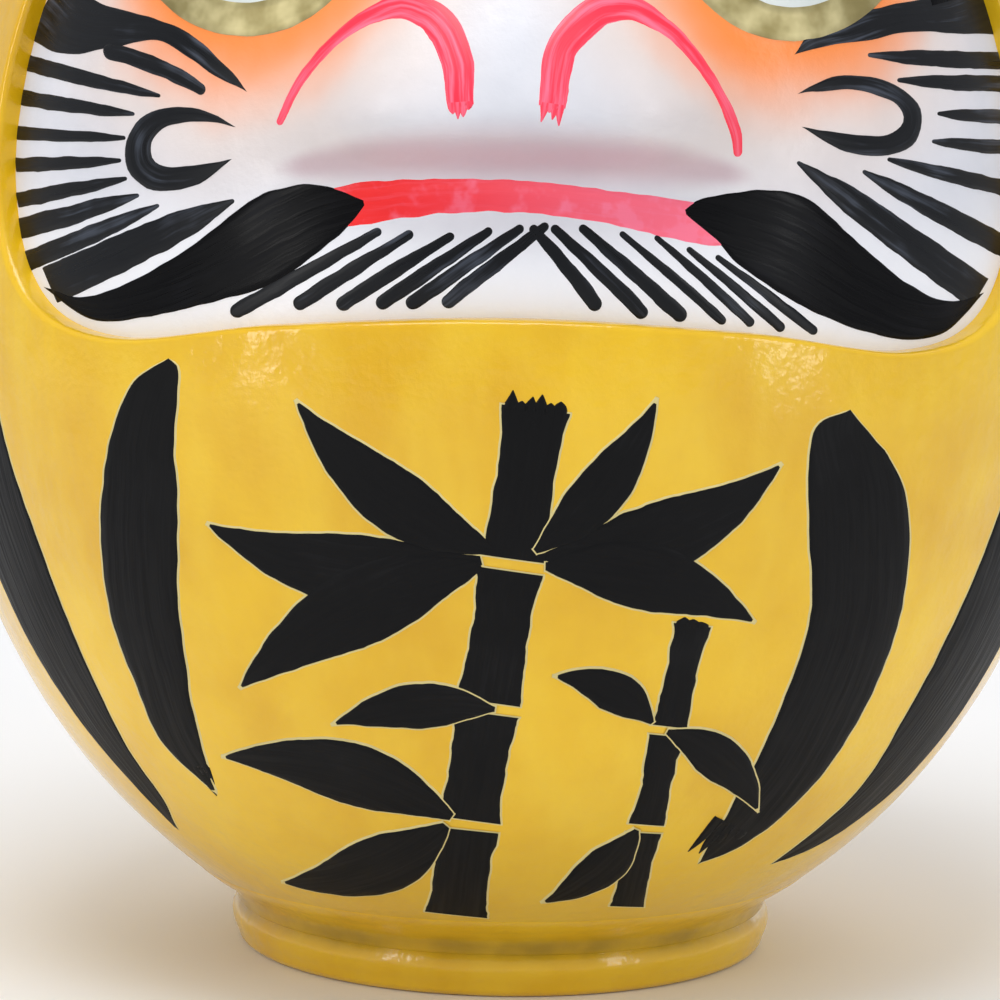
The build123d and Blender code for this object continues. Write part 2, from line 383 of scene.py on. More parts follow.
def mix(tree, amount, a, b):
    """Colour a where amount is 0 and b where it is 1; each is a colour or another node's output."""
    made = tree.nodes.new("ShaderNodeMix")
    made.data_type = "RGBA"
    tree.links.new(amount, made.inputs["Factor"])
    for name, item in (("A", a), ("B", b)):
        socket = next(s for s in made.inputs if s.name == name and s.type == "RGBA")
        if isinstance(item, tuple):
            socket.default_value = item
        else:
            tree.links.new(item, socket)
    return next(s for s in made.outputs if s.type == "RGBA")


def surface(tree, shader, colour, heights, distance, rough=None):
    """Gives a paint its colour, bumps that many mm high from heights between 0 and 1, and a roughness."""
    tree.links.new(colour, shader.inputs["Base Color"])
    if rough is not None:
        tree.links.new(rough, shader.inputs["Roughness"])
    made = tree.nodes.new("ShaderNodeBump")
    made.inputs["Strength"].default_value = 1.0
    made.inputs["Distance"].default_value = distance * MM
    tree.links.new(heights, made.inputs["Height"])
    for socket in ("Normal", "Coat Normal"):
        tree.links.new(made.outputs["Normal"], shader.inputs[socket])


def axis_value(tree, axis):
    """One coordinate of the place, in metres."""
    made = tree.nodes.new("ShaderNodeSeparateXYZ")
    tree.links.new(place_node(tree), made.inputs[0])
    return made.outputs[axis]


def distance_from(tree, spot):
    """Distance in metres from a spot."""
    made = tree.nodes.new("ShaderNodeVectorMath")
    made.operation = "DISTANCE"
    tree.links.new(place_node(tree), made.inputs[0])
    made.inputs[1].default_value = spot
    return made.outputs["Value"]


print("paint helpers are ready")

# %% [markdown]
# The robe is yellow lacquer over paper. The real one is brushed on in thin coats, so it is cloudy: paler
# where the coat is thin. The colour is also made darker and browner towards the bottom. Two noises of
# different scale give the clouds, the height gives the darkening, and creases in the paper break up the
# gloss.

# %% Yellow lacquer
DARKER_BOTTOM, DARKER_TOP = 4.0, 75.0  # mm: the lacquer grows darker from the top down to the bottom
GROOVE_Z, GROOVE_REACH, GROOVE_FULL = 10.5, 4.2, 0.4  # the painted shade's height, its reach and where it is full


def yellow_lacquer(name, dark, groove=0.0):
    """Yellow lacquer that darkens downwards by dark, with painted shade in the groove round the foot."""
    paint, tree, shader = new_paint(name, 0.42, coat=0.8, coat_roughness=0.09, gloss=0.2)
    clouds = ramp(tree, noise_node(tree, 24.0, 4.0, 0.55), 0.32, 0.68)
    streaks = ramp(tree, noise_node(tree, 60.0, 3.0, 0.6, stretch=(1.0, 1.0, 0.35)), 0.35, 0.75)
    colour = mix(tree, clouds, srgb(224, 172, 5), srgb(238, 190, 14))
    colour = mix(tree, sums(tree, "MULTIPLY", streaks, 0.45), colour, srgb(246, 208, 52))
    low = ramp(tree, axis_value(tree, "Z"), DARKER_BOTTOM * MM, DARKER_TOP * MM, dark, 0.0)
    colour = mix(tree, low, colour, srgb(204, 166, 34))
    if groove:
        # painted shade: the groove round the foot is darkened, where shade falls in the crease
        off = sums(tree, "ABSOLUTE", sums(tree, "SUBTRACT", axis_value(tree, "Z"), GROOVE_Z * MM), 0.0)
        cloudy = ramp(tree, noise_node(tree, 70.0, 3.0), 0.3, 0.7, 0.45, 1.0)
        strength = ramp(tree, off, GROOVE_REACH * MM, GROOVE_FULL * MM, 0.0, groove)
        painted_groove_shade = sums(tree, "MULTIPLY", strength, cloudy)
        colour = mix(tree, painted_groove_shade, colour, srgb(150, 120, 26))
    fine = noise_node(tree, 420.0, 4.0, 0.6)
    creases = noise_node(tree, 95.0, 3.0, 0.55)
    height = sums(tree, "ADD", sums(tree, "MULTIPLY", fine, 0.22), creases)
    rough = ramp(tree, noise_node(tree, 45.0, 3.0), 0.3, 0.7, 0.28, 0.46)
    surface(tree, shader, colour, height, 0.5, rough)
    return paint


robe_yellow = yellow_lacquer("robe_yellow_lacquer", 0.45)
foot_yellow = yellow_lacquer("foot_yellow_lacquer", 0.25, groove=0.85)
print("yellow lacquers are mixed")

# %% [markdown]
# The robe: rings start at the foot of the step round the face, climb the step, roll over its rounded lip
# and run back over the egg to a point behind the head. The part that the foot would cover is cut away.

# %% Robe
LIP_ROUND = 1.5
STEP_DEPTH = 7.0
RIM_PROFILE = [(0.0, STEP_DEPTH), (0.0, 4.5), (0.0, 2.8)]  # (distance out over the egg, depth)
RIM_PROFILE += [(LIP_ROUND * (1 - cos(a)), LIP_ROUND * (1 - sin(a))) for a in np.linspace(0, pi / 2, 7)]


ROBE_ROWS = 175
EVEN_SHARE = 0.35  # the rest of the rings lie closer together near the face
LAST_RING = 0.9985  # just short of the point behind the head, where the cap closes the mesh
CUT_Z, NEAR_CUT = SHOULDER_Z + 0.2, 13.0  # where the shell ends, and a height just above it
TURNED_IN = 0.9  # the cut edge turns in to this share of its radius


def egg_ring(away_now, depth):
    turn, height = hit_egg(around, away_now)
    egg = egg_radius(height)
    uneven = unevenness(on_axis(turn, height, egg))
    return on_axis(turn, height, egg + uneven - depth)


def over_egg(distance):
    """Angle of a ring that many mm outside the face's edge."""
    return np.minimum(edge_away + distance / RING_STEP, pi)


rows = [egg_ring(over_egg(out), depth) for out, depth in RIM_PROFILE]
for share in np.linspace(0, 1, ROBE_ROWS + 1)[1:]:
    eased = EVEN_SHARE * share + (1 - EVEN_SHARE) * share**1.6
    start = over_egg(LIP_ROUND)
    rows.append(egg_ring(start + (pi - start) * eased * LAST_RING, 0.0))
robe = grid_mesh("robe", rows, robe_yellow, cap_last=True)
cutter = bmesh.new()
cutter.from_mesh(robe.data)
everything = cutter.verts[:] + cutter.edges[:] + cutter.faces[:]
bmesh.ops.bisect_plane(
    cutter, geom=everything, plane_co=(0, 0, CUT_Z * MM), plane_no=(0, 0, -1), clear_outer=True
)
loose = [e for e in cutter.edges if e.is_boundary and all(v.co.z < NEAR_CUT * MM for v in e.verts)]
lip = bmesh.ops.extrude_edge_only(cutter, edges=loose)["geom"]
for item in lip:
    if isinstance(item, bmesh.types.BMVert):
        item.co.x *= TURNED_IN
        item.co.y *= TURNED_IN
bmesh.ops.recalc_face_normals(cutter, faces=cutter.faces)
cutter.to_mesh(robe.data)
cutter.free()
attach(robe, "root")
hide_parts("body_shell")
print("robe:", len(robe.data.polygons), "faces")

# %% [markdown]
# The face is white shell paint with a soft orange blush, sprayed round the eyes and down beside the nose.
# Spray has no edge, so its strength falls off smoothly with the distance from each eye, and the nearer eye
# counts. A soft arch of painted shade lies under the nose, and painted light brightens the white towards the
# chin.

# %% White face paint with blush
EYE_X, EYE_Z = 51.5, 219.9
EYE_SPOTS = [(side * EYE_X * MM, -0.098, EYE_Z * MM) for side in (-1, 1)]
CHIN_TOP, CHIN_LOW = 170.0, 150.0  # mm: painted light makes the white brighter towards the chin
STRAY = 10.0  # how far the blush's edge strays
BLUSH, HAZE = (46.0, 25.0), (66.0, 30.0)  # distances from an eye where each begins and is full
SHADE_HALF, SHADE_Z, SHADE_ARCH = 46.0, 170.3, 4.2  # under the nose: half width, height of its ends, arch
SHADE_THIN, SHADE_SWELL = 1.4, 8.0  # half height at its ends, and what the middle adds


def near_eyes(tree, stray, reach):
    """1 close to either eye and 0 far from both."""
    begins, full = reach
    away = [sums(tree, "ADD", distance_from(tree, spot), stray) for spot in EYE_SPOTS]
    return sums(tree, "MAXIMUM", *(ramp(tree, far, begins * MM, full * MM) for far in away))


def nose_shade(tree):
    """A soft arch of shade under the nose."""
    across = sums(tree, "MULTIPLY", axis_value(tree, "X"), 1 / (SHADE_HALF * MM))
    fullness = sums(tree, "SUBTRACT", 1.0, sums(tree, "MULTIPLY", across, across))
    fullness = sums(tree, "MAXIMUM", fullness, 0.0)
    middle_z = sums(tree, "ADD", sums(tree, "MULTIPLY", fullness, SHADE_ARCH * MM), SHADE_Z * MM)
    half_height = sums(tree, "ADD", sums(tree, "MULTIPLY", fullness, SHADE_SWELL * MM), SHADE_THIN * MM)
    above = sums(tree, "ABSOLUTE", sums(tree, "SUBTRACT", axis_value(tree, "Z"), middle_z), 0.0)
    spread = sums(tree, "DIVIDE", above, half_height)
    return sums(tree, "MULTIPLY", ramp(tree, spread, 1.0, 0.1, 0.0, 0.6), ramp(tree, fullness, 0.0, 0.3))


def white_with_blush():
    paint, tree, shader = new_paint("face_white_paint", 0.42, coat=0.15)
    clouds = ramp(tree, noise_node(tree, 40.0, 4.0, 0.55), 0.3, 0.7)
    colour = mix(tree, clouds, srgb(214, 215, 222), srgb(226, 226, 232))
    # painted light: the white is made brighter towards the chin
    chin = ramp(tree, axis_value(tree, "Z"), CHIN_TOP * MM, CHIN_LOW * MM)
    colour = mix(tree, chin, colour, srgb(240, 240, 244))
    stray = sums(tree, "MULTIPLY", sums(tree, "SUBTRACT", noise_node(tree, 55.0, 2.0), 0.5), STRAY * MM)
    haze = sums(tree, "MULTIPLY", near_eyes(tree, stray, HAZE), 0.30)
    colour = mix(tree, haze, colour, srgb(255, 192, 112))
    blush = sums(tree, "MULTIPLY", near_eyes(tree, stray, BLUSH), 0.94)
    colour = mix(tree, blush, colour, srgb(252, 132, 16))
    colour = mix(tree, nose_shade(tree), colour, srgb(186, 148, 158))
    rough = ramp(tree, noise_node(tree, 70.0, 3.0), 0.3, 0.7, 0.34, 0.5)
    surface(tree, shader, colour, noise_node(tree, 300.0, 4.0, 0.6), 0.16, rough)
    return paint


face_white = white_with_blush()
print("face paint is mixed")

# %% [markdown]
# The face panel: rings again, now from its edge, tucked a little behind the robe's step, in to its middle.

# %% Face panel
FACE_ROWS = 84
TUCK = 0.6  # mm that the panel's edge goes behind the step
INNERMOST = 0.004  # the last ring, as a share of the way out; the cap closes the rest


def face_ring(share, tuck=0.0):
    turn, height = hit_egg(around, edge_away * share + tuck / RING_STEP)
    return skin(turn, height, face=True)


rows = [face_ring(1.0, TUCK)] + [face_ring(share) for share in np.linspace(1, INNERMOST, FACE_ROWS)]
face = grid_mesh("face_panel", rows, face_white, cap_last=True)
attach(face, "root")
print("face panel:", len(face.data.polygons), "faces")

# %% [markdown]
# A brush stroke is a film of paint. Its outline is given, either by a middle line with widths, or by
# its two edges. The film lies on the skin in one layer or more, and where films cross, the one with more
# layers shows. Its rim dips under the surface. Seeded noise makes the edge tremble as a brush does.

# %% Brush strokes
TREMBLE = 0.35  # mm that an edge strays
FILM = 0.10  # thickness of one layer in mm
UNROLL = 118.0  # strokes on the sides are drawn flat and rolled round this radius
PROBE, PROBE_RADIUS = 0.4, 110.0  # the skin's slope is taken from points this far to each side
MESH_STEP = 1.4  # widest gap between points across a film
RIM_WIDTH, RIM_SHARE = 0.18, 0.2  # a rim's width in mm, and at most this share of the film
RIM_DEPTH = 0.06  # how far the rim dips, in layers
FULL_WIDTH = 1.2  # a stroke narrower than this is thinner too
POINTED = 0.6  # edges that end closer than this meet in a point
END_ZONE = 1.5  # the last mm of a stroke, where its rows lie closer
WELD, SLIVER = 2e-6, 1e-6  # metres


def to_skin(flat, face, rounded):
    """Turn and height for flat points in mm: across and up as seen from in front, or unrolled."""
    across, height = flat[:, 0], flat[:, 1]
    if rounded:
        return across / UNROLL, height
    turn = np.arcsin(np.clip(across / egg_radius(height), -0.99, 0.99))
    for _ in range(6):
        radius = face_radius(turn, height) if face else egg_radius(height)
        turn = np.arcsin(np.clip(across / radius, -0.99, 0.99))
    return turn, height


def lift_on_skin(flat, lifts, face, rounded):
    """Flat points laid on the skin and lifted off it by that many mm each."""
    turn, height = to_skin(flat, face, rounded)
    here = skin(turn, height, face)
    swing = PROBE / PROBE_RADIUS
    beside = skin(turn + swing, height, face) - skin(turn - swing, height, face)
    above = skin(turn, height + PROBE, face) - skin(turn, height - PROBE, face)
    outward = np.cross(beside, above)
    outward /= np.linalg.norm(outward, axis=1)[:, None]
    return here + outward * lifts[:, None]


def film_rows(left, right, grow=0.0):
    """Flat rows of points from a left edge to a right edge of equal length, and how deep each point lies."""
    widest = np.linalg.norm(right - left, axis=1).max() + 2 * grow
    inner = max(3, int(widest / MESH_STEP))
    rows, depth = [], []
    for a, b in zip(left, right):
        gap = b - a
        width = np.linalg.norm(gap)
        side = gap / width if width > 1e-6 else np.zeros(2)
        a, b = a - side * grow, b + side * grow
        width = np.linalg.norm(b - a) + 1e-6
        rim = min(RIM_WIDTH / width, RIM_SHARE)
        shares = np.concatenate([[0, rim], np.linspace(rim, 1 - rim, inner + 1)[1:-1], [1 - rim, 1]])
        thin = min(1.0, width / FULL_WIDTH)
        rows.append(a + (b - a) * shares[:, None])
        depth.append(np.concatenate([[-RIM_DEPTH], np.full(len(shares) - 2, thin), [-RIM_DEPTH]]))
    return rows, depth


def run_along(points):
    """How far along the line each point lies."""
    return np.concatenate([[0], np.cumsum(np.linalg.norm(np.diff(points, axis=0), axis=1))])


def bowed(start, tip, shares, bows=(0.0, 0.0)):
    """Four points from start to tip, the inner two at those shares of the way and pushed aside by bows."""
    start, tip = np.array(start, float), np.array(tip, float)
    return [start, *(start + (tip - start) * share + bow for share, bow in zip(shares, bows)), tip]


class Brush:
    """Collects films with one paint into one piece."""

    def __init__(self, name, paint, face, layer=1, rounded=False, grow=0.0):
        self.name, self.paint, self.face, self.layer = name, paint, face, layer
        self.rounded, self.grow = rounded, grow
        self.verts, self.faces, self.uv = [], [], []

    def between(self, left, right, seed=0, tremble=TREMBLE):
        """A film between two edges, given by a few points each."""
        spans = max(len(left), len(right)) - 1
        left, right = (self.even(smooth_curve(edge, 24), spans * 8) for edge in (left, right))
        length = np.linalg.norm(np.diff((left + right) / 2, axis=0), axis=1).sum()
        rows_wanted = int(max(10, length / 1.1))
        left, right = (self.even(edge, rows_wanted) for edge in (left, right))
        for edge, way in ((left, 0), (right, 1)):
            for i, point in enumerate(edge):
                shake = Vector((point[0] / 3.2, point[1] / 3.2, seed * 7.3 + way * 3.1))
                jolt = np.array([noise.noise(shake), noise.noise(shake + Vector((9, 5, 1)))])
                edge[i] = point + tremble * 0.6 * jolt
        for end in (0, -1):
            if np.linalg.norm(left[end] - right[end]) < POINTED:
                left[end] = right[end] = (left[end] + right[end]) / 2
        self.add(left, right, seed)

    def pointed(self, start, one_edge, other_edge, end, **how):
        """A film between two edges that both run from start to end."""
        self.between([start, *one_edge, end], [start, *other_edge, end], **how)

    @staticmethod
    def even(points, count):
        """The same curve with evenly spaced points."""
        run = run_along(points)
        wanted = np.linspace(0, run[-1], count + 1)
        return np.column_stack([np.interp(wanted, run, points[:, k]) for k in (0, 1)])

    def fray(self, end, way, half, strands, reach, seed):
        """Thin tails where the brush ran dry, going on from the end of a stroke in the direction way."""
        way = np.array(way) / np.linalg.norm(way)
        side = np.array([-way[1], way[0]])
        luck = np.random.default_rng(seed)
        tail = half / strands
        for number in range(strands):
            offset = (2 * (number + 0.5) / strands - 1) * (half - tail * 0.9)
            length = reach * luck.uniform(0.2, 1.0)
            start = end + side * offset - way * 0.6
            drift = side * luck.uniform(-0.1, 0.1) * length
            middle = [start, start + way * 0.8, start + way * (0.8 + length * 0.6) + drift * 0.4]
            middle.append(start + way * (0.8 + length) + drift)
            halves = [tail * 1.3, tail * 1.35, tail * luck.uniform(0.6, 1.0), 0.12]
            self.stroke(middle, halves, seed=seed + number, tremble=0.15)

    def stroke(
        self, middle, half_widths, seed=0, tremble=TREMBLE,
        round_start=False, round_end=False, strands=0, reach=0.0,
    ):
        """A film along a middle line with half widths in mm, frayed at its end into that many strands."""
        if strands:
            way = np.subtract(middle[-1], middle[-2])
            self.fray(np.array(middle[-1], float), way, half_widths[-1], strands, reach, seed)
        line = smooth_curve(np.column_stack([np.asarray(middle, float), half_widths]), 24)
        run = run_along(line[:, :2])
        wanted = np.linspace(0, run[-1], int(max(10, run[-1])) + 1)
        ends = (1 - np.cos(np.linspace(0, pi / 2, 7))) * END_ZONE
        wanted = wanted[(wanted > END_ZONE) & (wanted < run[-1] - END_ZONE)]
        wanted = np.unique(np.concatenate([wanted, ends, run[-1] - ends]))
        x, z, half = (np.interp(wanted, run, line[:, k]) for k in (0, 1, 2))
        half = np.maximum(half, 0.02)
        for end, wish in ((0, round_start), (1, round_end)):
            if wish:
                rounding = half[0] if end == 0 else half[-1]
                distance = wanted if end == 0 else run[-1] - wanted
                near = np.clip(distance / rounding, 0, 1)
                half = half * np.sqrt(np.clip(1 - (1 - near) ** 2, 0, 1))
        along = np.gradient(np.column_stack([x, z]), axis=0)
        along /= np.linalg.norm(along, axis=1)[:, None] + 1e-9
        side = np.column_stack([-along[:, 1], along[:, 0]])
        centre = np.column_stack([x, z])
        edges = []
        for way in (1, -1):
            shake = np.array([noise.noise(Vector((w / 3.5, way * 4.0, seed * 5.7))) for w in wanted])
            fine = np.array([noise.noise(Vector((w / 0.9, way * 4.0, seed * 3.3))) for w in wanted])
            wobble = tremble * (0.7 * shake + 0.25 * fine) * np.clip(half / 1.5, 0, 1)
            edges.append(centre + way * side * (half + wobble)[:, None])
        self.add(edges[0], edges[1], seed)

    def add(self, left, right, seed):
        """Lays the film between two edges of equal length, widened all round where the brush grows."""
        if self.grow:
            lead = left[:1] + right[:1] - left[1:2] - right[1:2]
            tail = left[-1:] + right[-1:] - left[-2:-1] - right[-2:-1]
            for edge_way in (0, 1):
                edge = (left, right)[edge_way]
                edge = np.vstack([edge[:1] + lead / (np.linalg.norm(lead) + 1e-9) * self.grow, edge])
                edge = np.vstack([edge, edge[-1:] + tail / (np.linalg.norm(tail) + 1e-9) * self.grow])
                left, right = (edge, right) if edge_way == 0 else (left, edge)
        rows, depth = film_rows(left, right, self.grow)
        columns = len(rows[0])
        flat, lifts = np.vstack(rows), np.concatenate(depth) * FILM * self.layer
        run = run_along((left + right) / 2)
        first = sum(len(v) for v in self.verts)
        self.verts.append(lift_on_skin(flat, lifts, self.face, self.rounded))
        widths = np.linalg.norm(right - left, axis=1)
        for so_far, width in zip(run, widths):
            for c in range(columns):
                share = c / (columns - 1) - 0.5
                self.uv.append((so_far * 0.01 + seed * 0.37, share * width * 0.01 + seed * 0.11))
        for r in range(len(rows) - 1):
            for c in range(columns - 1):
                a = first + r * columns + c
                self.faces.append((a, a + columns, a + columns + 1, a + 1))

    def finish(self):
        """Makes the piece from the films, with each film's own map for the paint to follow."""
        mesh = bpy.data.meshes.new(self.name)
        mesh.from_pydata((np.vstack(self.verts) * MM).tolist(), [], self.faces)
        mesh.shade_smooth()
        layer = mesh.uv_layers.new(name="along_stroke")
        for loop in mesh.loops:
            layer.data[loop.index].uv = self.uv[loop.vertex_index]
        mesh.materials.append(self.paint)
        cleaner = bmesh.new()
        cleaner.from_mesh(mesh)
        bmesh.ops.remove_doubles(cleaner, verts=cleaner.verts, dist=WELD)
        bmesh.ops.dissolve_degenerate(cleaner, edges=cleaner.edges, dist=SLIVER)
        cleaner.to_mesh(mesh)
        cleaner.free()
        piece = put_in_scene(self.name, mesh)
        middle = sum((p.center for p in mesh.polygons), Vector()) / len(mesh.polygons)
        facing = sum(p.normal.dot(p.center - Vector(MIDDLE)) > 0 for p in mesh.polygons)
        if facing < len(mesh.polygons) / 2:
            mesh.flip_normals()
        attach(piece, "root")
        print(f"{self.name}: {len(mesh.polygons)} faces, centred at {[round(v * 1000) for v in middle]} mm")


# %% [markdown]
# Black ink on lacquer isn't one flat black. Along a stroke the bristles leave faint lighter streaks, so the
# colour follows the stroke's own length and width, which every film carries as its map. On the face the
# black is a little blue and lighter, and the streaks show more: that blue-grey is partly brush marks and
# partly a painted sheen of glossy ink.

# %% Ink
def bristle_marks(tree, along, across):
    """Streaks that follow the stroke, finer across it than along it."""
    source = tree.nodes.new("ShaderNodeUVMap")
    source.uv_map = "along_stroke"
    stretch = (along, across, 1.0)
    return noise_node(tree, 1.0, 3.0, 0.6, stretch, source.outputs["UV"])


def ink(name, dark, light, streaking, roughness, gloss):
    paint, tree, shader = new_paint(name, roughness, gloss=gloss)
    bristles = bristle_marks(tree, 4.0, 110.0)
    clouds = noise_node(tree, 60.0, 3.0, 0.5)
    amount = ramp(tree, sums(tree, "MULTIPLY", bristles, clouds), 0.27, 0.46, 0.0, streaking)
    rough = ramp(tree, bristles, 0.3, 0.7, roughness - 0.08, roughness + 0.12)
    surface(tree, shader, mix(tree, amount, dark, light), bristles, 0.08, rough)
    return paint


belly_ink = ink("belly_ink", srgb(13, 13, 14), srgb(30, 30, 31), 0.5, 0.5, 0.12)
# painted sheen: the face ink's lighter blue-grey streaks stand partly for the gloss on the ink
face_ink_and_painted_sheen = ink("face_ink_and_painted_sheen", srgb(14, 16, 20), srgb(76, 82, 94), 0.7, 0.34, 0.22)
moustache_ink = ink("moustache_ink", srgb(7, 7, 9), srgb(22, 23, 29), 0.5, 0.28, 0.1)
pale_edge, pale_tree, pale_shader = new_paint("pale_ink_edge", 0.5)
pale_colour = mix(pale_tree, noise_node(pale_tree, 220.0, 3.0), srgb(200, 184, 120), srgb(226, 208, 140))
pale_tree.links.new(pale_colour, pale_shader.inputs["Base Color"])
print("inks are mixed")

# %% [markdown]
# The robe has two broad fold strokes on each side, drawn with a loaded brush from under the chin down to
# the foot. Their two edges are set apart, because the brush swells and thins. They have a thin pale edge,
# where thinned ink crept out. A second film, slightly wider and lower, makes that edge.

# %% Robe folds
INNER_LEFT = (
    (-64.7, 134.3),
    [
        (-71.5, 129.3), (-75.4, 121.0), (-77.5, 112.4), (-78.6, 98.0), (-77.5, 85.0), (-75.9, 76.8),
        (-72.4, 66.8), (-68.1, 55.5), (-61.5, 48.8),
    ],
    [
        (-62.6, 131.5), (-63.5, 117.0), (-62.7, 109.0), (-62.8, 87.0), (-61.7, 74.7), (-60.8, 64.8),
        (-59.2, 56.7), (-58.0, 49.8),
    ],
    (-56.4, 44.6),
)
INNER_RIGHT = (
    (64.0, 126.8),
    [(56.9, 123.0), (56.5, 106.4), (57.9, 90.0), (56.8, 80.3), (53.6, 69.3), (49.6, 57.7), (44.8, 47.0)],
    [
        (69.2, 120.6), (72.9, 115.7), (76.6, 106.0), (77.0, 89.8), (74.6, 76.5), (69.6, 63.0), (61.1, 48.6),
        (49.0, 36.6),
    ],
    (38.6, 32.0),
)
OUTER_LEFT = (
    (-124, 136),
    [(-134, 124), (-139, 108), (-138, 90), (-131, 70), (-123, 54), (-115, 41)],
    [(-119, 126), (-114, 110), (-108, 90), (-104.5, 68), (-104.5, 51), (-103.5, 40)],
    (-110, 32),
)
OUTER_RIGHT = (
    (130, 134),
    [(121, 124), (115, 108), (109, 88), (104, 64), (103, 46), (97.5, 37)],
    [(139, 122), (144, 106), (145, 86), (142, 62), (132, 45), (118, 35.5), (105, 31.2)],
    (89, 29),
)


def with_pale_edge(name, draw):
    """Draws the same strokes twice: the pale edge, slightly wider and lower, and the ink."""
    for ending, paint, layer, grow in (("_edge", pale_edge, 1.0, 0.3), ("", belly_ink, 1.6, 0.0)):
        brush = Brush(name + ending, paint, face=False, layer=layer, grow=grow)
        draw(brush)
        brush.finish()


def folds(brush):
    brush.pointed(*INNER_LEFT, seed=1)
    brush.pointed(*INNER_RIGHT, seed=2)
    if brush.paint is belly_ink:
        brush.fray(np.array([-59.6, 50.5]), (3.0, -5.4), half=1.9, strands=3, reach=8.0, seed=5)
        brush.fray(np.array([44.6, 41.0]), (-5.4, -7.6), half=4.6, strands=5, reach=10.0, seed=9)
    brush.rounded = True
    brush.pointed(*OUTER_LEFT, seed=3)
    brush.pointed(*OUTER_RIGHT, seed=4)


with_pale_edge("robe_folds", folds)

# %% [markdown]
# The belly carries brush painting: here bamboo, a stalk in short lengths with leaves. A leaf is one press
# of the brush, which goes down thin, swells and lifts off to a point. It has no letters or signs.

# %% Bamboo on the belly
def leaf(brush, root, tip, half, bend, seed):
    """One press of the brush from root to tip, bending to the side by that many mm."""
    root, tip = np.array(root, float), np.array(tip, float)
    run = tip - root
    side = np.array([-run[1], run[0]]) / np.linalg.norm(run)
    shares = np.array([0, 0.12, 0.3, 0.5, 0.72, 0.9, 1.0])
    middle = root + run * shares[:, None] + side * (4 * bend * shares * (1 - shares))[:, None]
    brush.stroke(middle, half * np.array([0.14, 0.5, 0.92, 1.0, 0.68, 0.28, 0.03]), seed=seed)


STALK_HALF, TWIG_HALF = 6.0, 3.4
STALK = [
    ((-9, 20), (-7, 42)), ((-6.6, 44.4), (-3.6, 68)), ((-3.2, 70.4), (0.4, 97)), ((0.9, 99.4), (4.6, 128)),
]
TWIG = [((25, 22), (27.5, 41)), ((27.9, 43), (31, 63)), ((31.4, 65), (35, 86))]
LEAVES = [  # (root, tip, half width, bend)
    ((-5, 99), (-57, 103), 7.2, 5.0),
    ((-5, 98), (-51, 70), 7.6, -4.0),
    ((-3, 101), (-40, 128), 6.2, 3.5),
    ((7, 100), (51, 117), 7.0, -4.5),
    ((7, 98), (47, 86), 6.6, 3.5),
    ((5, 101), (27, 130), 5.0, -2.5),
    ((-10, 45), (-55, 54), 7.0, -4.5),
    ((-11, 43), (-44, 24), 7.0, 3.0),
    ((-2, 69), (-33, 64), 4.8, -2.5),
    ((31, 64), (50, 44), 4.6, 3.0),
    ((26, 42), (8, 24), 4.6, 2.0),
    ((28, 66), (9, 76), 4.2, -2.5),
]
LEAF_LAYER = 0.12  # each leaf lies this much of a layer above the last


def bamboo(brush):
    for stem, half, first in ((STALK, STALK_HALF, 20), (TWIG, TWIG_HALF, 20 + len(STALK))):
        for number, (low, high) in enumerate(stem):
            halves = [half * 1.06, half * 0.93, half * 0.93, half * 1.08]
            brush.stroke(bowed(low, high, (0.25, 0.75)), halves, seed=first + number, tremble=0.6)
        if brush.paint is belly_ink:
            way, seed = np.subtract(high, low), first + number + 10
            brush.fray(np.array(high, float), way, half * 1.06, int(half), half * 0.55, seed)
    for number, (root, tip, half, bend) in enumerate(LEAVES):
        brush.layer += LEAF_LAYER
        leaf(brush, root, tip, half, bend, seed=40 + number)


with_pale_edge("belly_bamboo", bamboo)

# %% [markdown]
# The eyes are left white, because the owner of a daruma paints in the pupils. Each has a broad gold rim.

# %% Eyes
gold, gold_tree, gold_shader = new_paint("eye_gold", 0.48, metallic=0.7)
gold_clouds = noise_node(gold_tree, 130.0, 3.0, 0.5)
gold_colour = mix(gold_tree, ramp(gold_tree, gold_clouds, 0.3, 0.7), srgb(150, 137, 88), srgb(208, 196, 146))
surface(gold_tree, gold_shader, gold_colour, gold_clouds, 0.1)
eye_white, white_tree, white_shader = new_paint("eye_white", 0.38, coat=0.2)
white_colour = mix(white_tree, noise_node(white_tree, 90.0, 3.0), srgb(204, 211, 207), srgb(222, 227, 223))
surface(white_tree, white_shader, white_colour, noise_node(white_tree, 500.0, 3.0), 0.1)
RIM_OUTER, RIM_INNER = 24.2, 17.9
UNDER_RIM = 0.8  # mm that the white goes under the gold
EYE_APART, LEFT_LOWER = 51.8, 0.9  # the painted eyes' middles; the left one sits a little lower


def round_points(middle, radius, first, last, count=16):
    """Points on a circle, from one angle to another in degrees."""
    turns = np.radians(np.linspace(first, last, count))
    return [(middle[0] + radius * cos(t), middle[1] + radius * sin(t)) for t in turns]


for side, name in ((-1, "left"), (1, "right")):
    middle = (side * EYE_APART, EYE_Z - LEFT_LOWER * (side < 0))
    brush = Brush(f"eye_white_{name}", eye_white, face=True, layer=1.0)
    halves = [round_points(middle, RIM_INNER + UNDER_RIM, first, 90) for first in (270, -90)]
    brush.between(*halves, seed=60, tremble=0.1)
    brush.finish()
    brush = Brush(f"eye_gold_{name}", gold, face=True, layer=2.0)
    rings = [round_points(middle, radius, 90, 450, 40) for radius in (RIM_OUTER, RIM_INNER)]
    brush.between(*rings, seed=61 + side, tremble=0.3)
    brush.finish()

# %% [markdown]
# Red for the mouth and the wings of the nose. The red is loaded at the left and runs out to pink at the
# right, so its colour changes across the face.

